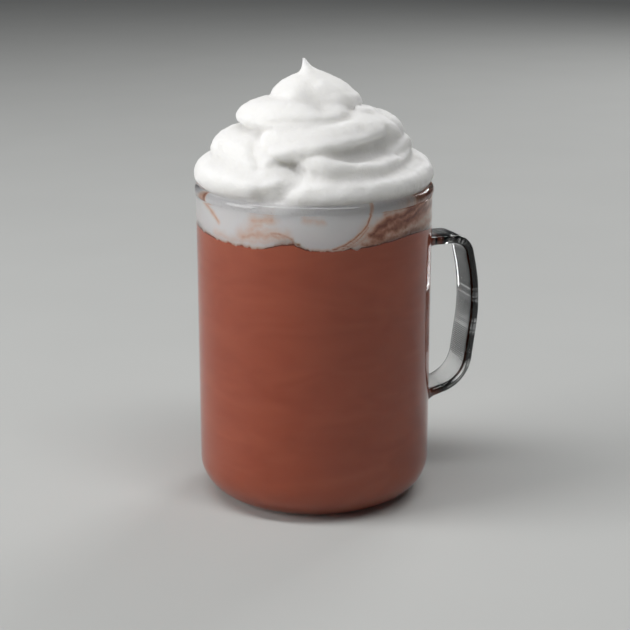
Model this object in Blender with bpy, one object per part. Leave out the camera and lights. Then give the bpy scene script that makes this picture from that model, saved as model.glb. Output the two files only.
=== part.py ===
# Caffe mocha in a clear glass mug: a straight mug with a strap handle in one piece with its wall,
# the mocha, a layer of milk foam with a wavy underside, and piped whipped cream heaped over the rim.
#
# The mug's axis is +Z, its foot stands on z = 0 and the handle points along +X. Sizes below are in
# millimetres, and MM turns them to metres. The food's azimuths count from the side that the mug
# shows, SHOW_SIDE away from -Y, and grow towards the handle; its heights count from the rim.
import math

import bmesh
import bpy
import numpy as np
from mathutils import Matrix, Vector

MM = 0.001
TURN_STEPS = 60
SHOW_SIDE = math.radians(-20)

# Glass
MUG_RADIUS = 41.0
MUG_HEIGHT = 111.3
WALL = 2.2
FLOOR = 3.2
FOOT_ROUND = 12.6
LIP_HEIGHT = 4.5
LIP_THICK = 3.0
LIP_PROUD = 0.5

# Handle: corners of the strap's centreline as radius, height and rounding
HANDLE_CORNERS = [
    (39.6, 88.0, 0), (56.2, 88.0, 6.5), (60.15, 67.1, 43.5), (56.4, 34.9, 13.0), (39.6, 30.2, 0),
]
HANDLE_WIDTH = 14.6
HANDLE_THICK = 3.0
HANDLE_EDGE = 1.1

# Contents
GAP = 0.3
FOAM_UNDERSIDE = -15.4
FOAM_TOP = -4.9
# Where the mocha laps up into the foam: azimuth, height, spread in degrees
LAPS = [(-13, 2.4, 8), (55, 2.2, 26), (-85, 1.9, 24), (120, 1.0, 14), (160, 2.2, 16), (215, 1.4, 18)]

# Whipped cream: each piped roll is a flat ribbon, tilted so that its outer edge hangs. Its course
# lists azimuth, radius and height of the middle, then half its width and height. Its ends round off
# over noses.
ROLLS = {
    "rim": {"tilt": 4, "noses": (11, 9), "course": [
        (-30, 28.5, 2.0, 7.6, 5.2), (5, 31.0, 3.0, 9.1, 6.2), (75, 31.7, 4.0, 9.4, 6.4),
        (180, 31.6, 4.8, 9.8, 6.6), (275, 31.7, 4.3, 9.8, 6.8), (322, 31.0, 4.8, 9.6, 6.5),
        (354, 30.4, 5.4, 8.4, 5.7)]},
    "second": {"tilt": 14, "noses": (8, 8), "course": [
        (-6, 27.2, 12.0, 8.6, 5.0), (20, 28.2, 10.0, 9.4, 5.4), (52, 27.4, 10.6, 9.0, 5.2),
        (92, 24.6, 14.0, 9.6, 5.6), (150, 23.6, 14.2, 9.4, 5.4), (220, 24.6, 13.6, 9.8, 5.2),
        (268, 25.8, 14.2, 9.9, 5.4), (312, 26.6, 12.2, 9.6, 5.6), (338, 27.4, 9.0, 8.6, 5.0)]},
    "third": {"tilt": 14, "noses": (8, 9), "course": [
        (-45, 21.5, 17.2, 9.2, 5.3), (-15, 21.6, 17.2, 10.3, 6.0), (50, 21.0, 19.8, 10.0, 5.9),
        (95, 21.2, 19.6, 9.6, 5.6), (125, 19.5, 19.8, 9.4, 5.4), (180, 16.5, 21.2, 9.0, 5.0),
        (235, 16.5, 24.4, 9.0, 4.3), (290, 18.4, 25.2, 9.0, 4.2), (335, 15.5, 25.2, 9.8, 4.8),
        (400, 12.5, 25.6, 9.8, 5.2)]},
    "crown": {"tilt": 6, "noses": (6, 6), "course": [
        (210, 5.0, 26.0, 9.0, 7.0), (300, 5.4, 27.0, 9.6, 7.4), (390, 6.0, 26.6, 10.6, 8.0),
        (470, 6.6, 26.0, 10.6, 8.0)]},
    "dab": {"tilt": 0, "noses": (4, 4), "course": [
        (50, 18.6, 24.6, 3.4, 3.1), (62, 19.4, 24.4, 3.7, 3.3), (76, 20.2, 23.2, 3.2, 2.9)]},
}
# The drawn-out peak as a stack of thin beads: azimuth, radius, height and half width up its middle
PEAK = [
    (450, 0.3, 27.6, 16.4), (440, 0.2, 29.6, 15.6), (300, 0.5, 31.4, 14.3), (277, 0.6, 33.2, 12.6),
    (277, 0.8, 34.8, 10.4), (277, 0.8, 36.2, 7.9), (277, 0.8, 37.4, 5.4), (277, 1.6, 38.6, 3.3),
    (277, 2.7, 40.2, 1.7), (277, 3.3, 41.8, 0.8), (277, 3.6, 42.8, 0.6),
]
PEAK_FLAT = 0.14
# The heart of the heap behind the rolls, as radius, middle height and half height
HEART = [(38.0, -0.5, 3.6), (32.5, 4.0, 13.5), (26.0, 17.0, 8.0), (12.0, 24.0, 9.0)]
# Soft folds in the skin: half width and depth, which is less than nothing for a ridge, then the way each
# fold takes as azimuth, radius and height
FOLDS = [
    (4.6, 2.2, [(-4, 13, 32.8), (8, 15, 31), (12, 17.5, 29.2)]),
    (3.0, -0.8, [(-34, 14.5, 32), (-4, 12.5, 33.6), (18, 10, 35)]),
    (5.0, -1.0, [(40, 13, 31), (46, 17, 27.6)]),
    (4.0, 0.9, [(-64, 27, 26.4), (-36, 25.6, 27.4), (-10, 24, 28)]),
    (1.7, 0.9, [(-54, 26, 23.6), (-32, 25.4, 24.4), (-10, 24.4, 25), (12, 23, 25.2), (34, 21.4, 25.2)]),
    (3.6, 0.9, [(-28, 30, 18.4), (-10, 30, 20.6), (15, 29.4, 21.6), (36, 28.6, 22.2)]),
    (2.4, -0.9, [(-26, 32, 13.6), (-14, 31.5, 16), (15, 31, 18), (32, 30.7, 19), (50, 30.2, 20.4)]),
    (3.2, 1.9, [(12, 31.4, 15.2), (28, 31, 16.2), (42, 30.7, 18), (58, 30.4, 19)]),
    (4.6, 2.6, [(24, 32.4, 14), (38, 31.6, 14.4), (56, 30.6, 15.6)]),
    (2.3, 0.7, [(-50, 25.5, 20), (-44, 28.8, 17.6), (-39, 32.1, 14.8), (-33, 34.7, 11.6)]),
    (2.0, -0.7, [(-8, 31, 13.2), (4, 32.8, 13.8), (14, 34.3, 13.1), (28, 34.9, 12.4), (40, 36, 10.8)]),
    (2.8, 1.6, [(0, 35.2, 9), (12, 37, 9), (26, 37.2, 9), (42, 37, 8.8), (60, 36.4, 9.4), (84, 36.6, 9.6)]),
    (3.2, 1.3, [(-70, 36, 11), (-51, 36.4, 10.6), (-38, 37.5, 9.2), (-28, 38.2, 8.2), (-17, 35, 9.8)]),
    (3.4, 1.6, [(-9, 33, 9.8), (-10, 36.3, 7.5), (-16, 38.8, 4.6), (-25, 38.9, 2)]),
    (2.4, 0.8, [(0, 39.4, 4.2), (11, 39.3, 5.4), (24, 40.2, 4.6)]),
    (2.4, 0.9, [(-72, 35, 14.2), (-54, 34.8, 13.9), (-36, 33.5, 13.8)]),
    (1.4, 0.8, [(112, 22, 24.6), (76, 22.6, 25.4), (70, 27, 23.4), (78, 30.5, 19.4)]),
    (1.8, 1.3, [(60, 33.7, 13.4), (74, 33.9, 13.8), (88, 34, 13)]),
    (3.4, 1.0, [(100, 30, 19.4), (140, 28.6, 19.6), (190, 25, 21), (240, 25.4, 23.8)]),
    (2.6, 1.3, [(120, 37, 9.6), (165, 37.2, 9.8), (215, 37.4, 9.4), (262, 37.6, 9.8)]),
    (3.6, 1.2, [(130, 33, 14.4), (180, 32.4, 15), (230, 33.6, 14)]),
]
# The rolls and the peak are strung from beads this far apart, a little short along the course, which is
# measured in this many steps between two rows
COURSE_STEPS = 80
BEAD_STEP = 1.3
PEAK_STEP = 0.5
BEAD_ALONG = 0.8
BLUNT_END = 0.3
# The skin over the heap, then the heap's lowest point, the plug's top and the clearance over the rim
SKIN_GRID = 0.9
SKIN_SMOOTHING = 2
SKIN_TRIANGLES = 6400
HEAP_ROOT = -3.0
PLUG_TOP = -0.2
FREE_RIM = 0.35
SMOOTH_ANGLE = math.radians(35)
WELD = 0.01


def clear_scene():
    for obj in list(bpy.data.objects):
        bpy.data.objects.remove(obj)


def material(name, colour, roughness, transmission=0.0):
    made = bpy.data.materials.new(name)
    made.use_nodes = True
    shader = made.node_tree.nodes["Principled BSDF"]
    shader.inputs["Base Color"].default_value = (*colour, 1)
    shader.inputs["Roughness"].default_value = roughness
    shader.inputs["Transmission Weight"].default_value = transmission
    return made


def add_object(name, bm, finish):
    mesh = bpy.data.meshes.new(name)
    bm.to_mesh(mesh)
    bm.free()
    mesh.shade_smooth()
    mesh.set_sharp_from_angle(angle=SMOOTH_ANGLE)
    mesh.materials.append(finish)
    obj = bpy.data.objects.new(name, mesh)
    bpy.context.scene.collection.objects.link(obj)
    return obj


def arc(centre, radius, start, end, steps):
    """Points of an arc about centre, in degrees from the first axis towards the second."""
    turns = [math.radians(start + (end - start) * k / steps) for k in range(steps + 1)]
    return [(centre[0] + radius * math.cos(t), centre[1] + radius * math.sin(t)) for t in turns]


def turned(profile):
    """A solid of revolution about Z, from a profile of radius and height that starts and ends on the axis."""
    bm = bmesh.new()
    points = [bm.verts.new((radius * MM, 0, height * MM)) for radius, height in profile]
    edges = [bm.edges.new(pair) for pair in zip(points, points[1:])]
    bmesh.ops.spin(bm, geom=points + edges, cent=(0, 0, 0), axis=(0, 0, 1), angle=2 * math.pi,
                   steps=TURN_STEPS, use_merge=True)
    bmesh.ops.remove_doubles(bm, verts=bm.verts, dist=WELD * MM)
    bmesh.ops.recalc_face_normals(bm, faces=bm.faces)
    return bm


def on_show_side(azimuth, radius, height):
    """The place in millimetres of a point of the food, given from the show side and the rim."""
    turn = math.radians(azimuth)
    flat = Vector((radius * math.sin(turn), -radius * math.cos(turn), MUG_HEIGHT + height))
    return Matrix.Rotation(SHOW_SIDE, 3, "Z") @ flat


# Glass
def rounded_path(corners):
    """The corners' path with each corner replaced by an arc of its own rounding."""
    path = [Vector(corners[0][:2])]
    for before, here, after in zip(corners, corners[1:], corners[2:]):
        corner = Vector(here[:2])
        back = (Vector(before[:2]) - corner).normalized()
        ahead = (Vector(after[:2]) - corner).normalized()
        half = back.angle(ahead) / 2
        centre = corner + (back + ahead).normalized() * here[2] / math.sin(half)
        reach = here[2] / math.tan(half)
        first = corner + back * reach - centre
        swing = first.angle_signed(corner + ahead * reach - centre)
        steps = max(4, round(abs(swing) / math.radians(13)))
        path += [centre + Matrix.Rotation(-swing * k / steps, 2) @ first for k in range(steps + 1)]
    return path + [Vector(corners[-1][:2])]


def handle_strap():
    """A flat strap: the outline on either side of its path, pulled out to its width, long edges rounded."""
    path = rounded_path(HANDLE_CORNERS)
    sides = ([], [])
    for index, point in enumerate(path):
        along = path[min(index + 1, len(path) - 1)] - path[max(index - 1, 0)]
        across = Vector((-along.y, along.x)).normalized() * HANDLE_THICK / 2
        sides[0].append(point + across)
        sides[1].append(point - across)
    outline = sides[0] + sides[1][::-1]
    bm = bmesh.new()
    low = -HANDLE_WIDTH / 2
    face = bm.faces.new([bm.verts.new((p.x * MM, low * MM, p.y * MM)) for p in outline])
    pulled = bmesh.ops.extrude_face_region(bm, geom=[face])
    moved = [part for part in pulled["geom"] if isinstance(part, bmesh.types.BMVert)]
    bmesh.ops.translate(bm, verts=moved, vec=(0, HANDLE_WIDTH * MM, 0))
    bmesh.ops.recalc_face_normals(bm, faces=bm.faces)
    rims = [edge for edge in bm.edges if abs(edge.verts[0].co.y - edge.verts[1].co.y) < WELD * MM]
    bmesh.ops.bevel(bm, geom=rims, offset=HANDLE_EDGE * MM, segments=2, profile=0.5, affect="EDGES",
                    material=-1, clamp_overlap=True)
    return bm


def mug_profile():
    outer = MUG_RADIUS
    inner = outer - WALL
    foot = arc((outer - FOOT_ROUND, FOOT_ROUND), FOOT_ROUND, -90, 0, 7)
    proud = outer + LIP_PROUD
    half_lip = LIP_THICK / 2
    lip_foot = MUG_HEIGHT - LIP_HEIGHT
    lip = arc((proud - half_lip, MUG_HEIGHT - half_lip), half_lip, 0, 180, 8)
    bowl_round = FOOT_ROUND - WALL
    bowl = arc((inner - bowl_round, FLOOR + bowl_round), bowl_round, 0, -90, 6)
    return ([(0, 0)] + foot + [(outer, lip_foot - LIP_PROUD), (proud, lip_foot + LIP_PROUD)] + lip
            + [(proud - LIP_THICK, lip_foot), (inner, lip_foot - LIP_PROUD)] + bowl + [(0, FLOOR)])


def glass_mug():
    finish = material("clear glass", (0.95, 0.97, 0.96), 0.03, 1.0)
    mug = add_object("glass_mug", turned(mug_profile()), finish)
    handle = add_object("handle", handle_strap(), finish)
    join(mug, handle, "UNION")
    return mug


def join(obj, other, operation):
    """Applies a Boolean with other, and removes other."""
    modifier = obj.modifiers.new(operation.lower(), "BOOLEAN")
    modifier.operation = operation
    modifier.solver = "EXACT"
    modifier.object = other
    apply_modifiers(obj)
    bpy.data.objects.remove(other)


def apply_modifiers(obj):
    graph = bpy.context.evaluated_depsgraph_get()
    obj.data = bpy.data.meshes.new_from_object(obj.evaluated_get(graph))
    obj.modifiers.clear()


# Drink and foam
def lap(x, y):
    """How far the mocha laps up into the foam at a point in metres: most at the wall, none at the axis."""
    out = math.hypot(x, y) / (MUG_RADIUS * MM)
    azimuth = math.degrees(math.atan2(x, -y) - SHOW_SIDE)
    height = 0
    for middle, rise, spread in LAPS:
        away = (azimuth - middle + 180) % 360 - 180
        height += rise * math.exp(-((away / spread) ** 2))
    return height * out**2


def raise_by_laps(bm, height):
    level = [vert for vert in bm.verts if abs(vert.co.z - height * MM) < WELD * MM]
    for vert in level:
        vert.co.z += lap(vert.co.x, vert.co.y) * MM


def disc(radius, height):
    """Points of a level disc from its rim to the axis."""
    return [(radius * share, height) for share in (1, 0.86, 0.7, 0.45, 0)]


def mocha():
    radius = MUG_RADIUS - WALL - GAP
    floor = FLOOR + GAP
    bowl_round = FOOT_ROUND - WALL - GAP
    level = MUG_HEIGHT + FOAM_UNDERSIDE - GAP
    bowl = arc((radius - bowl_round, floor + bowl_round), bowl_round, -90, 0, 6)
    bm = turned([(0, floor)] + bowl + disc(radius, level))
    raise_by_laps(bm, level)
    return add_object("mocha", bm, material("mocha", (0.23, 0.075, 0.045), 0.2))


def milk_foam():
    radius = MUG_RADIUS - WALL - GAP
    level = MUG_HEIGHT + FOAM_UNDERSIDE
    top = MUG_HEIGHT + FOAM_TOP
    bm = turned([(0, top), (radius, top)] + disc(radius, level))
    raise_by_laps(bm, level)
    return add_object("milk_foam", bm, material("milk foam", (0.72, 0.6, 0.53), 0.5))


# Whipped cream
def spline(rows, share):
    """A Catmull-Rom curve through the rows, at a share from 0 to 1 of their count."""
    place = min(share, 1) * (len(rows) - 1)
    first = min(int(place), len(rows) - 2)
    t = place - first
    before, start, end, after = (rows[min(max(first + k, 0), len(rows) - 1)] for k in (-1, 0, 1, 2))
    return [0.5 * (2 * b + (c - a) * t + (2 * a - 5 * b + 4 * c - d) * t**2 + (3 * b - a - 3 * c + d) * t**3)
            for a, b, c, d in zip(before, start, end, after)]


def evenly(rows, step):
    """Points along the course about a step apart, each with its way from the start."""
    fine = COURSE_STEPS * (len(rows) - 1)
    picked = []
    way = 0
    last = None
    for k in range(fine + 1):
        row = spline(rows, k / fine)
        place = on_show_side(*row[:3])
        way += (place - last).length if last else 0
        last = place
        if way >= step * len(picked):
            picked.append((row, place, way))
    return picked, way


def pipe_roll(bm, tilt, noses, course):
    """Beads strung along the course: an ellipsoid each, its outer edge dipped by tilt."""
    beads, length = evenly(course, BEAD_STEP)
    for (azimuth, _, _, half_width, half_height), place, way in beads:
        nose = min(way / noses[0], (length - way) / noses[1], 1)
        taper = max(BLUNT_END, math.sqrt(1 - (1 - nose) ** 2))
        facing = Matrix.Rotation(SHOW_SIDE + math.radians(azimuth - 90), 4, "Z")
        dip = Matrix.Rotation(math.radians(tilt), 4, "Y")
        size = Vector((half_width, half_width * BEAD_ALONG, half_height)) * taper
        shape = Matrix.Diagonal((*size, 1))
        matrix = Matrix.Translation(place * MM) @ facing @ dip @ shape
        bmesh.ops.create_icosphere(bm, subdivisions=3, radius=MM, matrix=matrix)


def pipe_peak(bm):
    for (_, _, _, half), place, _ in evenly(PEAK, PEAK_STEP)[0]:
        shape = Matrix.Diagonal((half, half, max(half * PEAK_FLAT, PEAK_STEP), 1))
        matrix = Matrix.Translation(place * MM) @ shape
        bmesh.ops.create_icosphere(bm, subdivisions=3, radius=MM, matrix=matrix)


def cream_heap():
    bm = bmesh.new()
    for roll in ROLLS.values():
        pipe_roll(bm, **roll)
    pipe_peak(bm)
    for radius, height, half_height in HEART:
        shape = Matrix.Diagonal((1, 1, half_height / radius, 1))
        place = Matrix.Translation(on_show_side(0, 0, height) * MM)
        bmesh.ops.create_icosphere(bm, subdivisions=4, radius=radius * MM, matrix=place @ shape)
    return bm


def fold_skin(mesh):
    """Moves the skin along its normals by the folds that it is near."""
    places = np.array([vert.co for vert in mesh.vertices]) / MM
    normals = np.array([vert.normal for vert in mesh.vertices])
    inwards = np.zeros(len(places))
    for half_width, depth, course in FOLDS:
        points = [np.array(on_show_side(*row)) for row in course]
        nearest = np.full(len(places), np.inf)
        for start, end in zip(points, points[1:]):
            run = end - start
            share = np.clip((places - start) @ run / (run @ run), 0, 1)
            away = np.linalg.norm(places - start - np.outer(share, run), axis=1)
            nearest = np.minimum(nearest, away)
        inwards += depth * np.exp(-((nearest / half_width) ** 2))
    mesh.vertices.foreach_set("co", ((places - normals * inwards[:, None]) * MM).ravel())


def whipped_cream():
    """The heap as one skin, cut clear of the glass, on a plug that fills the mug's mouth."""
    finish = material("whipped cream", (0.86, 0.85, 0.83), 0.55)
    cream = add_object("whipped_cream", cream_heap(), finish)
    grid = cream.modifiers.new("grid", "REMESH")
    grid.mode = "VOXEL"
    grid.voxel_size = SKIN_GRID * MM
    apply_modifiers(cream)
    fold_skin(cream.data)
    smooth = cream.modifiers.new("smooth", "SMOOTH")
    smooth.iterations = SKIN_SMOOTHING
    apply_modifiers(cream)
    fewer = cream.modifiers.new("fewer", "DECIMATE")
    fewer.ratio = SKIN_TRIANGLES / (2 * len(cream.data.polygons))
    apply_modifiers(cream)
    mouth = MUG_RADIUS + LIP_PROUD - LIP_THICK - GAP
    far = 2 * MUG_RADIUS
    root = MUG_HEIGHT + HEAP_ROOT
    free = MUG_HEIGHT + FREE_RIM
    below = root - far
    throat = mouth - GAP
    keep_out = turned([(0, below), (far, below), (far, free), (throat, free), (throat, root), (0, root)])
    join(cream, add_object("keep_out", keep_out, finish), "DIFFERENCE")
    bottom = MUG_HEIGHT + FOAM_TOP + GAP
    top = MUG_HEIGHT + PLUG_TOP
    plug = turned([(0, bottom), (mouth, bottom), (mouth, top), (0, top)])
    join(cream, add_object("plug", plug, finish), "UNION")
    cream.data.shade_smooth()
    cream.data.set_sharp_from_angle(angle=SMOOTH_ANGLE)
    return cream


clear_scene()
glass_mug()
mocha()
milk_foam()
whipped_cream()
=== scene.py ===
import math

import bmesh
import bpy
import numpy as np
from mathutils import Matrix, Vector, noise


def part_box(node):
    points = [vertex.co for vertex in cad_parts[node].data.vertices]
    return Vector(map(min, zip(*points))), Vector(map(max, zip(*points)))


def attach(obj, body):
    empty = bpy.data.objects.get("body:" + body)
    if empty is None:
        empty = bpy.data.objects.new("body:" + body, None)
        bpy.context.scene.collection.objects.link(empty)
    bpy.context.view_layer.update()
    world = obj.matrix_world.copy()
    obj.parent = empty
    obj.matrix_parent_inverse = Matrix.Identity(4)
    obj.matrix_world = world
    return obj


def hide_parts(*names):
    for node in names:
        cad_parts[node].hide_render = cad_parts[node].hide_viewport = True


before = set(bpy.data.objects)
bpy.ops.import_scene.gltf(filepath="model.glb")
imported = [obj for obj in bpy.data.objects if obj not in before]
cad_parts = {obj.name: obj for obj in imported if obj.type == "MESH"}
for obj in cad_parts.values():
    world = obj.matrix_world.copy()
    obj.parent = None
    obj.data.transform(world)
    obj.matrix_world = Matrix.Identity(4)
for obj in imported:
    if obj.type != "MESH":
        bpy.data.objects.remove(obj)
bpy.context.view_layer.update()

mm = 0.001
weld = 0.005        # points nearer than this become one, in millimetres
nearby = 0.01        # and points nearer than this to a level lie on it
smoothAngle = math.radians(35)
showSide = math.radians(-20)        # the side of the mug that faces the camera, counted from -Y
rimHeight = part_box("glass_mug")[1].z / mm        # millimetres from here on
lipRadius = -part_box("glass_mug")[0].y / mm
print("frame loaded: rim at", round(rimHeight, 1), "mm, lip radius", round(lipRadius, 1), "mm")


# Helpers

def toLinear(hexColour):
    parts = [int(hexColour[k:k + 2], 16) / 255 for k in (1, 3, 5)]
    return [c / 12.92 if c <= 0.04045 else ((c + 0.055) / 1.055) ** 2.4 for c in parts] + [1]


def addNode(tree, kind, values=None, links=None):        # values set sockets, properties or a ramp's stops
    node = tree.nodes.new("ShaderNode" + kind)
    for name, value in (values or {}).items():
        if name == "stops":        # each a place and a hex colour
            while len(node.color_ramp.elements) < len(value):
                node.color_ramp.elements.new(1)
            for element, (place, hexColour) in zip(node.color_ramp.elements, value):
                element.position = place
                element.color = toLinear(hexColour)
        elif isinstance(name, int) or name in node.inputs:
            node.inputs[name].default_value = value
        else:
            setattr(node, name, value)
    for name, source in (links or {}).items():
        tree.links.new(source, node.inputs[name])
    return node


def newMaterial(name):
    material = bpy.data.materials.new(name)
    material.use_nodes = True
    tree = material.node_tree
    return material, tree, tree.nodes["Principled BSDF"]


def newObject(name, bm, material):
    mesh = bpy.data.meshes.new(name)
    bm.to_mesh(mesh)
    bm.free()
    mesh.materials.append(material)
    mesh.shade_smooth()
    mesh.set_sharp_from_angle(angle=smoothAngle)
    piece = bpy.data.objects.new(name, mesh)
    bpy.context.scene.collection.objects.link(piece)
    return piece


def applyModifiers(piece):
    graph = bpy.context.evaluated_depsgraph_get()
    piece.data = bpy.data.meshes.new_from_object(piece.evaluated_get(graph))
    piece.modifiers.clear()


def combine(piece, other, operation):        # a Boolean, applied, that uses up the other object
    modifier = piece.modifiers.new(operation, "BOOLEAN")
    modifier.operation = operation
    modifier.solver = "EXACT"
    modifier.object = other
    applyModifiers(piece)
    bpy.data.objects.remove(other)


def arc(centre, radius, start, end, steps):        # degrees, from the radius axis towards the height axis
    turns = [math.radians(start + (end - start) * k / steps) for k in range(steps + 1)]
    return [(centre[0] + radius * math.cos(t), centre[1] + radius * math.sin(t)) for t in turns]


def turn(profile, steps):        # a profile of radius and height, from axis to axis, spun round Z
    bm = bmesh.new()
    points = [bm.verts.new((radius * mm, 0, height * mm)) for radius, height in profile]
    edges = [bm.edges.new(pair) for pair in zip(points, points[1:])]
    bmesh.ops.spin(bm, geom=points + edges, cent=(0, 0, 0), axis=(0, 0, 1), angle=2 * math.pi,
                   steps=steps, use_merge=True)
    bmesh.ops.remove_doubles(bm, verts=bm.verts, dist=weld * mm)
    bmesh.ops.recalc_face_normals(bm, faces=bm.faces)
    return bm


def onShowSide(azimuth, radius, height):        # azimuth from the show side, height from the rim
    angle = math.radians(azimuth)
    flat = Vector((radius * math.sin(angle), -radius * math.cos(angle), rimHeight + height))
    return Matrix.Rotation(showSide, 3, "Z") @ flat


def azimuthOf(point):
    return math.degrees(math.atan2(point.x, -point.y) - showSide)


def awayFrom(azimuth, middle):        # degrees from middle, between -180 and 180
    return (azimuth - middle + 180) % 360 - 180


def awayFromCourse(places, course):        # how far each place is from the line through the course's points
    nearest = np.full(len(places), np.inf)
    for start, end in zip(course, course[1:]):
        run = end - start
        share = np.clip((places - start) @ run / (run @ run), 0, 1)
        nearest = np.minimum(nearest, np.linalg.norm(places - start - np.outer(share, run), axis=1))
    return nearest


def addAttribute(mesh, name, values):
    attribute = mesh.attributes.new(name, "FLOAT", "POINT")
    attribute.data.foreach_set("value", np.asarray(values, dtype=np.float32))


# Clear glass mug: pressed soda-lime glass, fire-polished

mug = {
    "wall": 2.2,
    "floor": 3.2,
    "footRound": 12.6,
    "lipThick": 3.0,
    "lipProud": 0.5,
    "bead": 1.9,        # the lip's radius on its outside; its inside takes up the rest of its thickness
    "seam": 0.5,        # the fine bevelled line just under the bead
    "seamLean": math.radians(46),
    "seamGap": 0.02,
    "seamRing": 0.1,        # a ring this far under the seam keeps the wall's shading even
    "steps": 180,
    "footSteps": 20,
    "bowlSteps": 18,
    "beadSteps": 18,
    "insideSteps": 8,
    "tint": "#ffffff",
    "ior": 1.5,
    "rippleWidth": 18,        # pressed glass waves gently
    "markWidth": 6,        # faint marks of handling
}
mug["outer"] = lipRadius - mug["lipProud"]
mug["inner"] = mug["outer"] - mug["wall"]
mug["mouth"] = lipRadius - mug["lipThick"]
mug["beadEnd"] = -math.degrees(math.acos(1 - mug["lipProud"] / mug["bead"]))
mug["lipHeight"] = mug["bead"] * (1 + math.sin(-math.radians(mug["beadEnd"])))

handle = {
    "corners": [        # of the strap's centreline: distance from the axis, height and rounding
        (39.6, 88.0, 0), (56.2, 88.0, 6.5), (60.7, 67.1, 68), (56.4, 34.9, 13.0), (39.6, 30.2, 0)],
    "width": 14.6,
    "thick": 3.0,
    "edge": 1.35,
    "edgeSteps": 6,
    "cornerSteps": 60,
    "step": 0.7,
    "flare": 0.3,        # how much the strap swells where it meets the wall
    "flareReach": 1.6,
    "sideShare": 3,        # the swelling is this many times less across the strap
}


def clearGlass():        # clear all through, so what shows is its edges, its gloss and what is behind
    material, tree, shader = newMaterial("fire-polished clear glass")
    shader.inputs["Base Color"].default_value = toLinear(mug["tint"])
    shader.inputs["IOR"].default_value = mug["ior"]
    shader.inputs["Transmission Weight"].default_value = 1
    place = addNode(tree, "TexCoord").outputs["Object"]
    ripple = addNode(tree, "TexNoise", {"Scale": 1 / (mug["rippleWidth"] * mm), "Detail": 1.0},
                     {"Vector": place})
    bump = addNode(tree, "Bump", {"Strength": 0.05, "Distance": 0.2 * mm}, {"Height": ripple.outputs["Fac"]})
    tree.links.new(bump.outputs["Normal"], shader.inputs["Normal"])
    haze = addNode(tree, "TexNoise", {"Scale": 1 / (mug["markWidth"] * mm), "Detail": 3.0}, {"Vector": place})
    rough = addNode(tree, "MapRange", {"From Min": 0.35, "From Max": 0.75, "To Min": 0.0, "To Max": 0.03},
                    {"Value": haze.outputs["Fac"]})
    tree.links.new(rough.outputs["Result"], shader.inputs["Roughness"])
    return material


def lipArc(start, inset):        # the bead's outside from start upwards, then its top and inside
    bead, inside = mug["bead"], mug["lipThick"] - mug["bead"]
    middle = lipRadius - bead
    return (arc((middle, rimHeight - bead), bead - inset, start, 90, mug["beadSteps"])
            + arc((middle, rimHeight - inside), inside - inset, 90, 180, mug["insideSteps"]))


def mugProfile():
    outer, inner = mug["outer"], mug["inner"]
    foot = arc((outer - mug["footRound"], mug["footRound"]), mug["footRound"], -90, 0, mug["footSteps"])
    lipFoot = rimHeight - mug["lipHeight"]
    bowlRound = mug["footRound"] - mug["wall"]
    bowl = arc((inner - bowlRound, mug["floor"] + bowlRound), bowlRound, 0, -90, mug["bowlSteps"])
    inwards = mug["seam"] * math.sin(mug["seamLean"])
    upwards = mug["seam"] * math.cos(mug["seamLean"])
    low = lipFoot - mug["seamGap"] - upwards
    seam = [(outer, low - mug["seamRing"]), (outer, low), (outer - inwards, lipFoot - mug["seamGap"])]
    return ([(0, 0)] + foot + seam + lipArc(mug["beadEnd"], 0)
            + [(mug["mouth"], lipFoot), (inner, lipFoot - mug["lipThick"] / 2)] + bowl + [(0, mug["floor"])])


def handlePath():        # the strap's centreline, each corner replaced by an arc, then split into even steps
    corners = handle["corners"]
    path = [Vector(corners[0][:2])]
    for before, here, after in zip(corners, corners[1:], corners[2:]):
        corner = Vector(here[:2])
        back = (Vector(before[:2]) - corner).normalized()
        ahead = (Vector(after[:2]) - corner).normalized()
        half = back.angle(ahead) / 2
        centre = corner + (back + ahead).normalized() * here[2] / math.sin(half)
        reach = here[2] / math.tan(half)
        first = corner + back * reach - centre
        swing = first.angle_signed(corner + ahead * reach - centre)
        path += [centre + Matrix.Rotation(-swing * k / handle["cornerSteps"], 2) @ first
                 for k in range(handle["cornerSteps"] + 1)]
    path.append(Vector(corners[-1][:2]))
    ways = np.cumsum([0] + [(b - a).length for a, b in zip(path, path[1:])])
    even = np.linspace(0, ways[-1], round(ways[-1] / handle["step"]))
    return [Vector(pair) for pair in zip(*(np.interp(even, ways, [p[k] for p in path]) for k in (0, 1)))]


def makeHandle(material):
    bm = bmesh.new()
    bmesh.ops.create_grid(bm, x_segments=1, y_segments=1, size=0.5)
    bmesh.ops.scale(bm, vec=(handle["thick"] * mm, handle["width"] * mm, 1), verts=bm.verts)
    bmesh.ops.bevel(bm, geom=list(bm.verts), offset=handle["edge"] * mm, segments=handle["edgeSteps"],
                    profile=0.5, affect="VERTICES", material=-1)
    path = handlePath()
    placed = Matrix.Identity(4)
    face = next(iter(bm.faces))
    for index, point in enumerate(path):
        along = path[min(index + 1, len(path) - 1)] - path[max(index - 1, 0)]
        lean = math.atan2(along.x, along.y)        # the strap's run, from straight up towards +X
        fromWall = (point.x - mug["outer"]) / handle["flareReach"]
        swell = 1 + handle["flare"] * math.exp(-max(fromWall, 0) ** 2)
        station = (Matrix.Translation((point.x * mm, 0, point.y * mm)) @ Matrix.Rotation(lean, 4, "Y")
                   @ Matrix.Diagonal((swell, 1 + (swell - 1) / handle["sideShare"], 1, 1)))
        if index:
            made = bmesh.ops.extrude_face_region(bm, geom=[face])["geom"]
            face = next(part for part in made if isinstance(part, bmesh.types.BMFace))
        bmesh.ops.transform(bm, matrix=station @ placed.inverted(), verts=face.verts)
        placed = station
    bmesh.ops.recalc_face_normals(bm, faces=bm.faces)
    return newObject("mugHandle", bm, material)


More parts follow.
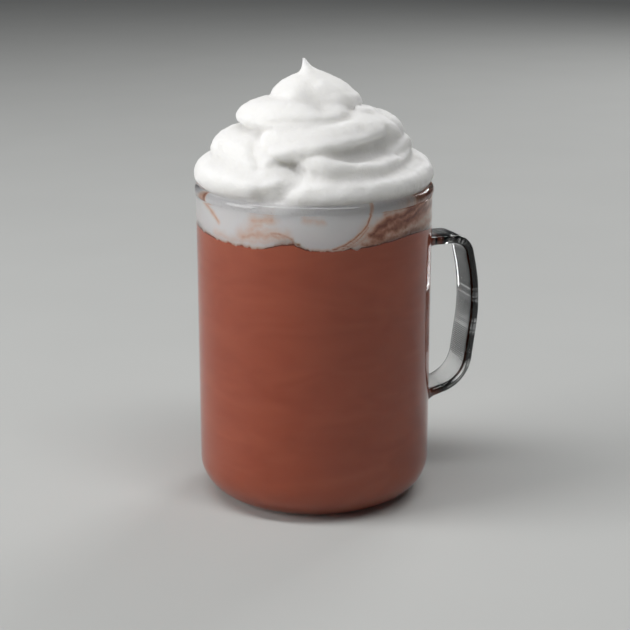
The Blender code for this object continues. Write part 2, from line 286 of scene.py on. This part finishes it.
def makeMug():
    glass = clearGlass()
    piece = newObject("mugGlass", turn(mugProfile(), mug["steps"]), glass)
    combine(piece, makeHandle(glass), "UNION")
    piece.data.shade_smooth()
    piece.data.set_sharp_from_angle(angle=smoothAngle)
    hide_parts("glass_mug")
    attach(piece, "root")
    print("mug made:", len(piece.data.polygons), "faces")


makeMug()


# Mocha and milk foam: liquid and froth that reach just into the glass, so no air shows between

contents = {
    "intoGlass": 0.12,
    "overGlass": 0.03,        # the foam is this much wider than the mocha, and hides its edge
    "overlap": 0.05,        # how far foam and cream reach into what they lie on
    "foamUnderside": -15.4,        # heights from the rim
    "foamTop": -3.7,
    "laps": [        # where the mocha laps up: azimuth from the show side, rise and spread in degrees
        (-13, 2.4, 8), (55, 2.2, 26), (-85, 1.9, 24), (120, 1.0, 14), (160, 2.2, 16), (215, 1.4, 18)],
    "fringe": 0.45,        # how far fine fingers of mocha stray from the laps
    "fringeWidth": 2.2,
    "steps": 720,
    "bowlSteps": 14,
    "wallRings": 30,
    "discRings": (1, 0.97, 0.93, 0.86, 0.75, 0.6, 0.4, 0.2, 0),        # shares of the radius
    "mochaTones": [(0.3, "#b85a3b"), (0.7, "#c36443")],
    "swirlWidth": 26,
    "swirlFlat": 2.5,        # the swirls lie flat, this much wider than tall
    "cocoaTones": [        # from white foam to cocoa
        (0.03, "#f8f7f7"), (0.32, "#f1d5c5"), (0.5, "#dba98f"), (0.72, "#b97a60"), (1.0, "#8d4f3b")],
    "cocoaGrain": 1.4,
    "bubble": 0.7,        # coarser than the real ones, so that they show
}


def underside(point):        # height of the line between mocha and foam at a place in metres
    out = math.hypot(point.x, point.y) / (mug["outer"] * mm)
    azimuth = azimuthOf(point)
    height = sum(rise * math.exp(-((awayFrom(azimuth, middle) / spread) ** 2))
                 for middle, rise, spread in contents["laps"])
    stray = noise.fractal(Vector((point.x, point.y, 0)) / (contents["fringeWidth"] * mm), 0.6, 2.0, 4)
    return rimHeight + contents["foamUnderside"] + height * out ** 2 + stray * contents["fringe"]


def wavyDisc(radius, height):        # the rings of a flat end that is bent to the line afterwards
    return [(radius * share, height) for share in contents["discRings"]]


def bendToLine(bm, level, shift):
    for vert in bm.verts:
        if abs(vert.co.z - level * mm) < nearby * mm:
            vert.co.z = (underside(vert.co) + shift) * mm


def milkyMocha():        # cocoa and milk: opaque and soft brown, with faint swirls
    material, tree, shader = newMaterial("milky mocha")
    place = addNode(tree, "TexCoord").outputs["Object"]
    stretched = addNode(tree, "Mapping", {"Scale": (1, 1, contents["swirlFlat"])}, {"Vector": place})
    swirl = addNode(tree, "TexNoise",
                    {"Scale": 1 / (contents["swirlWidth"] * mm), "Detail": 3.0, "Distortion": 1.2},
                    {"Vector": stretched.outputs["Vector"]})
    tone = addNode(tree, "ValToRGB", {"stops": contents["mochaTones"]}, {"Fac": swirl.outputs["Fac"]})
    tree.links.new(tone.outputs["Color"], shader.inputs["Base Color"])
    shader.inputs["Roughness"].default_value = 0.5
    shader.inputs["Specular IOR Level"].default_value = 0.05
    grain = addNode(tree, "TexNoise", {"Scale": 1 / (1.2 * mm), "Detail": 2.0}, {"Vector": place})
    bump = addNode(tree, "Bump", {"Strength": 0.15, "Distance": 0.1 * mm}, {"Height": grain.outputs["Fac"]})
    tree.links.new(bump.outputs["Normal"], shader.inputs["Normal"])
    return material


def makeMocha():
    radius = mug["inner"] + contents["intoGlass"]
    floor = mug["floor"] - contents["intoGlass"]
    bowlRound = mug["footRound"] - mug["wall"]
    bowl = arc((radius - bowlRound, floor + bowlRound), bowlRound, -90, 0, contents["bowlSteps"])
    level = rimHeight + contents["foamUnderside"]
    bm = turn([(0, floor)] + bowl + wavyDisc(radius, level), contents["steps"])
    bendToLine(bm, level, 0)
    piece = newObject("mochaDrink", bm, milkyMocha())
    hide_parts("mocha")
    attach(piece, "root")
    print("mocha made:", len(piece.data.polygons), "faces")


# Where cocoa shows in the foam: its course as azimuth from the show side and height from the rim, half its
# width, and its strength
foamStreaks = [
    {"course": [(-86, -0.7), (-75, -1.6), (-66, -2.4)], "half": 0.7, "strength": 0.85},
    {"course": [(-70, -2.7), (-63, -4.6), (-57, -6.6), (-53, -8.6)], "half": 0.8, "strength": 0.46},
    {"course": [(-30, -6.6), (-26, -5.4), (-21, -5.3)], "half": 2.2, "strength": 0.34},
    {"course": [(-36, -11), (-31, -9), (-27, -7.4)], "half": 2.4, "strength": 0.26},
    {"course": [(-37, -11.8), (-29, -10.6), (-21, -10.2), (-14, -10.8)], "half": 2.1, "strength": 0.35},
    {"course": [(-21, -9.6), (-17, -9.6), (-13, -10.5), (-10.5, -11.4)], "half": 0.6, "strength": 0.46},
    {"course": [(-56, -12.8), (-40, -13.6), (-24, -12.6), (-14, -12)], "half": 1.7, "strength": 0.2},
    {"course": [(-12, -13), (-7, -13)], "half": 0.4, "strength": 0.7},
    {"course": [(-4, -4.9), (1, -5.3), (4, -5.9)], "half": 1.3, "strength": 0.26},
    {"course": [(28.6, -0.6), (28.6, -1.9), (27.7, -4.5), (26.1, -7.3), (23, -9.6), (19.4, -11.5),
                (14.6, -13.4), (8.8, -14.9)], "half": 0.36, "strength": 0.78},
    {"course": [(26.5, -8.2), (22.5, -11.2), (17.4, -13.5), (12, -15.0)], "half": 0.3, "strength": 0.6},
    {"course": [(28, -9.4), (24, -12), (19, -14), (12, -15.4)], "half": 1.0, "strength": 0.4},
    {"course": [(36, -4.6), (40.5, -3.9), (46, -3.8)], "half": 0.9, "strength": 0.42},
    {"course": [(28, -11), (33, -8.6), (40, -6.9), (52, -5.2), (64, -3.4), (92, -1.2)],
     "half": 1.9, "strength": 0.97},
    {"course": [(30, -11.8), (40, -9.6), (52, -8.0), (68, -6.4), (96, -5.4)], "half": 3.4, "strength": 0.84},
    {"course": [(48, -8.4), (58, -6.8), (70, -4.2)], "half": 1.4, "strength": 1.05},
    {"course": [(60, -1.6), (74, -0.9), (96, -0.6)], "half": 1.7, "strength": 0.96},
    {"course": [(24, -14.2), (34, -13.4), (50, -12.4), (74, -11.6), (92, -10.6)],
     "half": 2.2, "strength": 0.62},
    {"course": [(88, -8), (104, -10.5), (122, -9), (140, -6.5)], "half": 1.6, "strength": 0.6},
    {"course": [(165, -3), (178, -6.5), (190, -9.5), (205, -13)], "half": 0.6, "strength": 0.6},
    {"course": [(212, -12), (228, -9.5), (244, -8.5)], "half": 2.0, "strength": 0.34},
    {"course": [(232, -13), (246, -11.5), (258, -12)], "half": 1.0, "strength": 0.4},
    {"course": [(262, -2), (268, -6.5), (276, -10.5)], "half": 0.6, "strength": 0.45},
]
foamEdge = {
    "depth": 0.8,        # of the tan line along the foam's underside
    "strength": 0.42,
    "stray": 0.5,        # how far a streak strays from its course, as a share of its half width
    "strayWidth": 2.6,
    "falloff": 1.3,        # below 2, a streak fades out more softly
}


def cocoaIn(places):        # for places in metres: 0 is white foam, 1 is cocoa
    degree = mug["outer"] * math.radians(1)
    azimuths = np.array([azimuthOf(place) for place in places])
    heights = np.array([place.z / mm - rimHeight for place in places])
    strays = np.array([noise.noise_vector(place / (foamEdge["strayWidth"] * mm)) for place in places])
    overEdge = heights - np.array([underside(place) - rimHeight for place in places])
    cocoa = foamEdge["strength"] * np.exp(-((overEdge / foamEdge["depth"]) ** 2))
    for streak in foamStreaks:
        middle = streak["course"][len(streak["course"]) // 2][0]
        across = awayFrom(azimuths, middle) * degree
        flat = np.stack([across, heights], axis=1) + strays[:, :2] * foamEdge["stray"] * streak["half"]
        course = [np.array((awayFrom(azimuth, middle) * degree, height))
                  for azimuth, height in streak["course"]]
        near = np.exp(-((awayFromCourse(flat, course) / streak["half"]) ** foamEdge["falloff"]))
        cocoa = np.maximum(cocoa, streak["strength"] * near)
    return cocoa


def marbling(tree, place):        # the cocoa attribute, broken up finely, as a colour
    cocoa = addNode(tree, "Attribute", {"attribute_name": "cocoa"}).outputs["Fac"]
    fine = addNode(tree, "TexNoise", {"Scale": 1 / (contents["cocoaGrain"] * mm), "Detail": 4.0,
                                      "Roughness": 0.6, "Distortion": 0.4}, {"Vector": place})
    spread = addNode(tree, "MapRange", {"From Min": 0.3, "From Max": 0.7, "To Min": 0.8, "To Max": 1.2},
                     {"Value": fine.outputs["Fac"]})
    broken = addNode(tree, "Math", {"operation": "MULTIPLY"}, {0: cocoa, 1: spread.outputs["Result"]})
    tone = addNode(tree, "ValToRGB", {"stops": contents["cocoaTones"]},
                   {"Fac": broken.outputs["Value"]})
    return tone.outputs["Color"]


def marbledFoam():        # fine steamed-milk bubbles, white marbled with cocoa
    material, tree, shader = newMaterial("marbled milk foam")
    place = addNode(tree, "TexCoord").outputs["Object"]
    tree.links.new(marbling(tree, place), shader.inputs["Base Color"])
    shader.inputs["Roughness"].default_value = 0.5
    shader.inputs["Specular IOR Level"].default_value = 0.1
    shader.inputs["Subsurface Weight"].default_value = 0.6
    shader.inputs["Subsurface Radius"].default_value = (1.0, 1.0, 0.95)
    shader.inputs["Subsurface Scale"].default_value = 5 * mm
    bubbles = addNode(tree, "TexVoronoi", {"Scale": 1 / (contents["bubble"] * mm)}, {"Vector": place})
    bump = addNode(tree, "Bump", {"Strength": 0.2, "Distance": 0.1 * mm},
                   {"Height": bubbles.outputs["Distance"]})
    tree.links.new(bump.outputs["Normal"], shader.inputs["Normal"])
    return material


def makeFoam():
    radius = mug["inner"] + contents["intoGlass"] + contents["overGlass"]
    level = rimHeight + contents["foamUnderside"]
    top = rimHeight + contents["foamTop"]
    rings = contents["wallRings"]
    wall = [(radius, top - (top - level) * k / rings) for k in range(rings)]
    bm = turn([(0, top)] + wall + wavyDisc(radius, level), contents["steps"])
    bendToLine(bm, level, -contents["overlap"])
    for vert in bm.verts:        # the wall's rings follow the wavy underside
        if level * mm < vert.co.z < top * mm - nearby * mm:
            share = (top * mm - vert.co.z) / ((top - level) * mm)
            vert.co.z = top * mm + (underside(vert.co) * mm - top * mm) * share
    piece = newObject("milkFoam", bm, marbledFoam())
    addAttribute(piece.data, "cocoa", cocoaIn([vert.co for vert in piece.data.vertices]))
    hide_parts("milk_foam")
    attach(piece, "root")
    print("milk foam made:", len(piece.data.polygons), "faces")


makeMocha()
makeFoam()


# Whipped cream: piped in flat rolls that spiral up to a drawn-out peak

cream = {
    "rolls": [        # stations as azimuth, radius and height, then half the roll's width and height
        {"tilt": 4, "noses": (11, 9), "course": [
            (-30, 28.5, 2.0, 7.6, 5.2), (5, 31.0, 3.0, 9.1, 6.2), (75, 31.7, 4.0, 9.4, 6.4),
            (180, 31.6, 4.8, 9.8, 6.6), (275, 31.7, 4.3, 9.8, 6.8), (322, 31.0, 4.8, 9.6, 6.5),
            (354, 30.4, 5.4, 8.4, 5.7)]},
        {"tilt": 14, "noses": (8, 8), "course": [
            (-6, 27.2, 12.0, 8.6, 5.0), (20, 28.2, 10.0, 9.4, 5.4), (52, 27.4, 10.6, 9.0, 5.2),
            (92, 24.6, 14.0, 9.6, 5.6), (150, 23.6, 14.2, 9.4, 5.4), (220, 24.6, 13.6, 9.8, 5.2),
            (268, 25.8, 14.2, 9.9, 5.4), (312, 26.6, 12.2, 9.6, 5.6), (338, 27.4, 9.0, 8.6, 5.0)]},
        {"tilt": 14, "noses": (8, 9), "course": [
            (-45, 21.5, 17.2, 9.2, 5.3), (-15, 21.6, 17.2, 10.3, 6.0), (50, 21.0, 19.8, 10.0, 5.9),
            (95, 21.2, 19.6, 9.6, 5.6), (125, 19.5, 19.8, 9.4, 5.4), (180, 16.5, 21.2, 9.0, 5.0),
            (235, 16.5, 24.4, 9.0, 4.3), (290, 18.4, 25.2, 9.0, 4.2), (335, 15.5, 25.2, 9.8, 4.8),
            (400, 12.5, 25.6, 9.8, 5.2)]},
        {"tilt": 6, "noses": (6, 6), "course": [
            (210, 5.0, 26.0, 9.0, 7.0), (300, 5.4, 27.0, 9.6, 7.4), (390, 6.0, 26.6, 10.6, 8.0),
            (470, 6.6, 26.0, 10.6, 8.0)]},
        {"tilt": 0, "noses": (4, 4), "course": [
            (50, 18.6, 24.6, 3.4, 3.1), (62, 19.4, 24.4, 3.7, 3.3), (76, 20.2, 23.2, 3.2, 2.9)]},
    ],
    "peak": [        # thin beads as azimuth, radius, height and half width
        (450, 0.3, 27.6, 16.4), (440, 0.2, 29.6, 15.6), (300, 0.5, 31.4, 14.3), (277, 0.6, 33.2, 12.6),
        (277, 0.8, 34.8, 10.4), (277, 0.8, 36.2, 7.9), (277, 0.8, 37.4, 5.4), (277, 1.6, 38.6, 3.3),
        (277, 2.7, 40.2, 1.7), (277, 3.3, 41.8, 0.8), (277, 3.6, 42.8, 0.6)],
    "heart": [        # what fills the heap: radius, height of the middle and half height
        (38.0, -0.5, 3.6), (32.5, 4.0, 13.5), (26.0, 17.0, 8.0), (12.0, 24.0, 9.0)],
    "folds": [        # half width, depth and course: a hollow, or a ridge where the depth is below nothing
        (4.6, 2.2, [(-4, 13, 32.8), (8, 15, 31), (12, 17.5, 29.2)]),
        (3.0, -0.8, [(-34, 14.5, 32), (-4, 12.5, 33.6), (18, 10, 35)]),
        (5.0, -1.0, [(40, 13, 31), (46, 17, 27.6)]),
        (4.0, 0.9, [(-64, 27, 26.4), (-36, 25.6, 27.4), (-10, 24, 28)]),
        (1.7, 0.9, [(-54, 26, 23.6), (-32, 25.4, 24.4), (-10, 24.4, 25), (12, 23, 25.2), (34, 21.4, 25.2)]),
        (3.6, 0.9, [(-28, 30, 18.4), (-10, 30, 20.6), (15, 29.4, 21.6), (36, 28.6, 22.2)]),
        (2.4, -0.9, [(-26, 32, 13.6), (-14, 31.5, 16), (15, 31, 18), (32, 30.7, 19), (50, 30.2, 20.4)]),
        (3.2, 1.4, [(12, 31.4, 15.2), (28, 31, 16.2), (42, 30.7, 18), (58, 30.4, 19)]),
        (4.6, 1.9, [(24, 32.4, 14), (38, 31.6, 14.4), (56, 30.6, 15.6)]),
        (1.8, 1.1, [(-50, 25.5, 20), (-44, 28.8, 17.6), (-39, 32.1, 14.8), (-33, 34.7, 11.6)]),
        (2.0, -0.7, [(-8, 31, 13.2), (4, 32.8, 13.8), (14, 34.3, 13.1), (28, 34.9, 12.4), (40, 36, 10.8)]),
        (2.8, 1.6, [(0, 35.2, 9), (12, 37, 9), (26, 37.2, 9), (42, 37, 8.8), (60, 36.4, 9.4), (84, 36.6, 9.6)]),
        (3.2, 1.3, [(-70, 36, 11), (-51, 36.4, 10.6), (-38, 37.5, 9.2), (-28, 38.2, 8.2), (-17, 35, 9.8)]),
        (3.4, 1.6, [(-9, 33, 9.8), (-10, 36.3, 7.5), (-16, 38.8, 4.6), (-25, 38.9, 2)]),
        (2.4, 0.8, [(0, 39.4, 4.2), (11, 39.3, 5.4), (24, 40.2, 4.6)]),
        (2.4, 0.9, [(-72, 35, 14.2), (-54, 34.8, 13.9), (-36, 33.5, 13.8)]),
        (1.4, 0.8, [(112, 22, 24.6), (76, 22.6, 25.4), (70, 27, 23.4), (78, 30.5, 19.4)]),
        (1.8, 1.3, [(60, 33.7, 13.4), (74, 33.9, 13.8), (88, 34, 13)]),
        (3.4, 1.0, [(100, 30, 19.4), (140, 28.6, 19.6), (190, 25, 21), (240, 25.4, 23.8)]),
        (2.6, 1.3, [(120, 37, 9.6), (165, 37.2, 9.8), (215, 37.4, 9.4), (262, 37.6, 9.8)]),
        (3.6, 1.2, [(130, 33, 14.4), (180, 32.4, 15), (230, 33.6, 14)]),
    ],
    "trials": 80,        # places tried between two stations, to space the beads evenly
    "beadStep": 1.2,
    "beadAlong": 0.8,        # half a bead's length along its roll, as a share of its half width
    "beadDetail": 4,
    "bluntEnd": 0.3,        # the least that a roll's end narrows to
    "peakStep": 0.4,
    "peakFlat": 0.14,        # half a bead's height in the peak, as a share of its half width
    "heartDetail": 5,
    "grid": 0.55,        # the skin's mesh
    "smoothing": 4,
    "sharp": math.radians(60),
    "ripple": 0.2,        # soft unevenness of the piped skin
    "rippleWidth": 3.2,
    "pits": 0.1,
    "pitWidth": 1.1,
    "heapRoot": -3.0,
    "intoLip": 0.1,        # the cream sinks a hair into the lip that it lies on
    "throatGap": 0.3,
    "plugTop": -1.2,
    "plugRings": 8,
    "plugSteps": 360,
    "atGlass": 1.0,        # cream this near the glass shows the marbling
    "white": "#e7e6e4",
    "whiteTurns": (-1.5, 0.5),        # heights where it turns from the foam's white, behind glass, to its own
    "grain": 0.6,
}


def spline(rows, share):        # the row at a share of the way along a smooth curve through them all
    place = min(share, 1) * (len(rows) - 1)
    first = min(int(place), len(rows) - 2)
    t = place - first
    before, start, end, after = (rows[min(max(first + k, 0), len(rows) - 1)] for k in (-1, 0, 1, 2))
    return [0.5 * (2 * b + (c - a) * t + (2 * a - 5 * b + 4 * c - d) * t ** 2
                   + (3 * b - a - 3 * c + d) * t ** 3) for a, b, c, d in zip(before, start, end, after)]


def evenly(rows, step):        # stations a step apart along the course, each with its way from the start
    fine = cream["trials"] * (len(rows) - 1)
    picked, way, last = [], 0, None
    for k in range(fine + 1):
        row = spline(rows, k / fine)
        place = onShowSide(*row[:3])
        way += (place - last).length if last else 0
        last = place
        if way >= step * len(picked):
            picked.append((row, place, way))
    return picked, way


def newBall(subdivisions):        # a ball of radius 1 mm that every bead is a stretched copy of
    bm = bmesh.new()
    bmesh.ops.create_icosphere(bm, subdivisions=subdivisions, radius=mm)
    ball = bpy.data.meshes.new("ball")
    bm.to_mesh(ball)
    bm.free()
    return ball


def addBead(bm, ball, matrix):
    bead = ball.copy()
    bead.transform(matrix)
    bm.from_mesh(bead)
    bpy.data.meshes.remove(bead)


def pipeRoll(bm, ball, roll):
    beads, length = evenly(roll["course"], cream["beadStep"])
    for (azimuth, _, _, halfWidth, halfHeight), place, way in beads:
        nose = min(way / roll["noses"][0], (length - way) / roll["noses"][1], 1)
        taper = max(cream["bluntEnd"], math.sqrt(1 - (1 - nose) ** 2))
        facing = Matrix.Rotation(showSide + math.radians(azimuth - 90), 4, "Z")
        dip = Matrix.Rotation(math.radians(roll["tilt"]), 4, "Y")
        size = Vector((halfWidth, halfWidth * cream["beadAlong"], halfHeight)) * taper
        addBead(bm, ball, Matrix.Translation(place * mm) @ facing @ dip @ Matrix.Diagonal((*size, 1)))


def pipePeak(bm, ball):
    for (_, _, _, half), place, _ in evenly(cream["peak"], cream["peakStep"])[0]:
        tall = max(half * cream["peakFlat"], cream["peakStep"])
        addBead(bm, ball, Matrix.Translation(place * mm) @ Matrix.Diagonal((half, half, tall, 1)))


def shapeSkin(mesh):        # presses the folds in along the normals, then ripples and small pits
    verts = mesh.vertices
    places = np.array([vert.co for vert in verts]) / mm
    normals = np.array([vert.normal for vert in verts])
    pressed = np.zeros(len(places))
    for halfWidth, depth, course in cream["folds"]:
        away = awayFromCourse(places, [np.array(onShowSide(*row)) for row in course])
        pressed += depth * np.exp(-((away / halfWidth) ** 2))
    ripples = [noise.fractal(vert.co / (cream["rippleWidth"] * mm), 0.7, 2.0, 3) for vert in verts]
    pits = [noise.noise(vert.co / (cream["pitWidth"] * mm)) for vert in verts]
    rough = np.array(ripples) * cream["ripple"] + np.array(pits) * cream["pits"]
    mesh.vertices.foreach_set("co", ((places + normals * (rough - pressed)[:, None]) * mm).ravel())


def whippedCream():        # whipped dairy cream: soft satin, and light soaks in, so hollows stay bright
    material, tree, shader = newMaterial("piped whipped cream")
    place = addNode(tree, "TexCoord").outputs["Object"]
    start, end = ((rimHeight + height) * mm for height in cream["whiteTurns"])
    up = addNode(tree, "SeparateXYZ", links={"Vector": place}).outputs["Z"]
    overRim = addNode(tree, "MapRange", {"From Min": start, "From Max": end}, {"Value": up})
    colour = addNode(tree, "MixRGB", {"Color2": toLinear(cream["white"])},
                     {"Fac": overRim.outputs["Result"], "Color1": marbling(tree, place)})
    tree.links.new(colour.outputs["Color"], shader.inputs["Base Color"])
    shader.inputs["Roughness"].default_value = 0.5
    shader.inputs["Specular IOR Level"].default_value = 0.35
    shader.inputs["Subsurface Weight"].default_value = 1
    shader.inputs["Subsurface Radius"].default_value = (1.0, 1.0, 0.95)
    shader.inputs["Subsurface Scale"].default_value = 7 * mm
    grain = addNode(tree, "TexNoise", {"Scale": 1 / (cream["grain"] * mm), "Detail": 3.0, "Roughness": 0.6},
                    {"Vector": place})
    bump = addNode(tree, "Bump", {"Strength": 0.8, "Distance": 0.25 * mm}, {"Height": grain.outputs["Fac"]})
    tree.links.new(bump.outputs["Normal"], shader.inputs["Normal"])
    return material


def glassSpace():        # all that the heap is cut clear of: the mug's room and what the rounded lip takes up
    root = rimHeight + cream["heapRoot"]
    far = 2 * lipRadius
    lip = lipArc(0, cream["intoLip"])
    throat = mug["mouth"] + contents["intoGlass"] - cream["throatGap"]
    return turn([(0, root - far), (far, root - far), (far, lip[0][1])] + lip + [(throat, root), (0, root)],
                mug["steps"])


def plug():        # the cream in the mug's mouth, ringed finely so that it takes the marbling
    wide = mug["inner"] + contents["intoGlass"]
    mouth = mug["mouth"] + contents["intoGlass"]
    bottom = rimHeight + contents["foamTop"] - contents["overlap"]
    top = rimHeight + cream["plugTop"]
    taper = rimHeight - mug["lipHeight"]
    rings = cream["plugRings"]
    wall = [(mouth, taper + (top - taper) * k / rings) for k in range(rings + 1)]
    return turn([(0, bottom), (wide, bottom), ((wide + mouth) / 2, (bottom + taper) / 2)] + wall + [(0, top)],
                cream["plugSteps"])


def makeCream():
    material = whippedCream()
    bm = bmesh.new()
    bead, heart = newBall(cream["beadDetail"]), newBall(cream["heartDetail"])
    for roll in cream["rolls"]:
        pipeRoll(bm, bead, roll)
    pipePeak(bm, bead)
    for radius, height, halfHeight in cream["heart"]:
        place = Matrix.Translation(onShowSide(0, 0, height) * mm)
        addBead(bm, heart, place @ Matrix.Diagonal((radius, radius, halfHeight, 1)))
    piece = newObject("whippedCream", bm, material)
    skin = piece.modifiers.new("skin", "REMESH")
    skin.mode = "VOXEL"
    skin.voxel_size = cream["grid"] * mm
    applyModifiers(piece)
    shapeSkin(piece.data)
    smooth = piece.modifiers.new("smooth", "SMOOTH")
    smooth.iterations = cream["smoothing"]
    applyModifiers(piece)
    combine(piece, newObject("glassSpace", glassSpace(), material), "DIFFERENCE")
    combine(piece, newObject("plug", plug(), material), "UNION")
    piece.data.shade_smooth()
    piece.data.set_sharp_from_angle(angle=cream["sharp"])
    places = [vert.co for vert in piece.data.vertices]
    inMouth = [place.z / mm < rimHeight and Vector(place[:2]).length / mm > mug["mouth"] - cream["atGlass"]
               for place in places]
    addAttribute(piece.data, "cocoa", cocoaIn(places) * np.array(inMouth))
    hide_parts("whipped_cream")
    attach(piece, "root")
    print("whipped cream made:", len(piece.data.polygons), "faces")


makeCream()


# Floor, light and camera

studio = {
    "floor": "#b6b7b5",
    "floorMottle": "#b9bab8",
    "mottleWidth": 90,
    "floorHalf": 4,        # metres, as for the lights
    "floorDrop": 0.2,        # a hair under the foot
    "world": "#e6eaee",
    "worldStrength": 0.07,
    "aim": 0.09,        # the height that the lights face
    "lights": [        # places as the camera sees them: to the right, away from it and up
        {"name": "key", "at": (-1.34, -0.34, 0.58), "size": (0.8, 0.8), "power": 15.3},
        {"name": "overheadStrip", "at": (-0.1, -0.3, 1.42), "size": (2.2, 0.38), "power": 17},
        {"name": "rim", "at": (0.6, 1.1, 0.9), "size": (0.5, 0.9), "power": 6.5},
    ],
}
view = {        # from the show side
    "elevation": 16.05,
    "distance": 582.2,
    "lens": 93.8,
    "sensor": 36,
    "nearest": 20,
    "lookAt": (0.29, 63.2),        # to the right of the axis and above the floor
}


def mattPaper():        # matt studio paper: pale and flat, with a trace of mottling
    material, tree, shader = newMaterial("matt studio paper")
    place = addNode(tree, "TexCoord").outputs["Object"]
    mottle = addNode(tree, "TexNoise", {"Scale": 1 / (studio["mottleWidth"] * mm), "Detail": 2.0},
                     {"Vector": place})
    tone = addNode(tree, "ValToRGB", {"stops": [(0.2, studio["floor"]), (0.8, studio["floorMottle"])]},
                   {"Fac": mottle.outputs["Fac"]})
    tree.links.new(tone.outputs["Color"], shader.inputs["Base Color"])
    shader.inputs["Roughness"].default_value = 0.8
    return material


def makeFloor():
    bm = bmesh.new()
    bmesh.ops.create_grid(bm, x_segments=1, y_segments=1, size=studio["floorHalf"])
    bmesh.ops.translate(bm, verts=bm.verts, vec=(0, 0, -studio["floorDrop"] * mm))
    floor = newObject("studioFloor", bm, mattPaper())


def makeLights():
    world = bpy.data.worlds.new("studioWorld")
    bpy.context.scene.world = world
    world.use_nodes = True
    background = world.node_tree.nodes["Background"]
    background.inputs["Color"].default_value = toLinear(studio["world"])
    background.inputs["Strength"].default_value = studio["worldStrength"]
    faced = Matrix.Rotation(showSide, 3, "Z")
    for light in studio["lights"]:
        data = bpy.data.lights.new(light["name"], "AREA")
        data.shape = "RECTANGLE"
        data.size, data.size_y = light["size"]
        data.energy = light["power"]
        lamp = bpy.data.objects.new(light["name"], data)
        bpy.context.scene.collection.objects.link(lamp)
        lamp.location = faced @ Vector(light["at"])
        lamp.rotation_mode = "QUATERNION"
        lamp.rotation_quaternion = (Vector((0, 0, studio["aim"])) - lamp.location).to_track_quat("-Z", "Y")


def makeCamera():
    elevation = math.radians(view["elevation"])
    aside, up = view["lookAt"]
    target = Vector((aside * math.cos(showSide), aside * math.sin(showSide), up)) * mm
    back = Vector((math.sin(showSide) * math.cos(elevation), -math.cos(showSide) * math.cos(elevation),
                   math.sin(elevation)))
    data = bpy.data.cameras.new("studioCamera")
    data.lens = view["lens"]
    data.sensor_width = view["sensor"]
    data.clip_start = view["nearest"] * mm
    camera = bpy.data.objects.new("studioCamera", data)
    bpy.context.scene.collection.objects.link(camera)
    camera.location = target + back * view["distance"] * mm
    camera.rotation_mode = "QUATERNION"
    camera.rotation_quaternion = (-back).to_track_quat("-Z", "Y")
    bpy.context.scene.camera = camera
    bpy.context.scene.view_settings.view_transform = "Standard"


makeFloor()
makeLights()
makeCamera()
print("studio made")
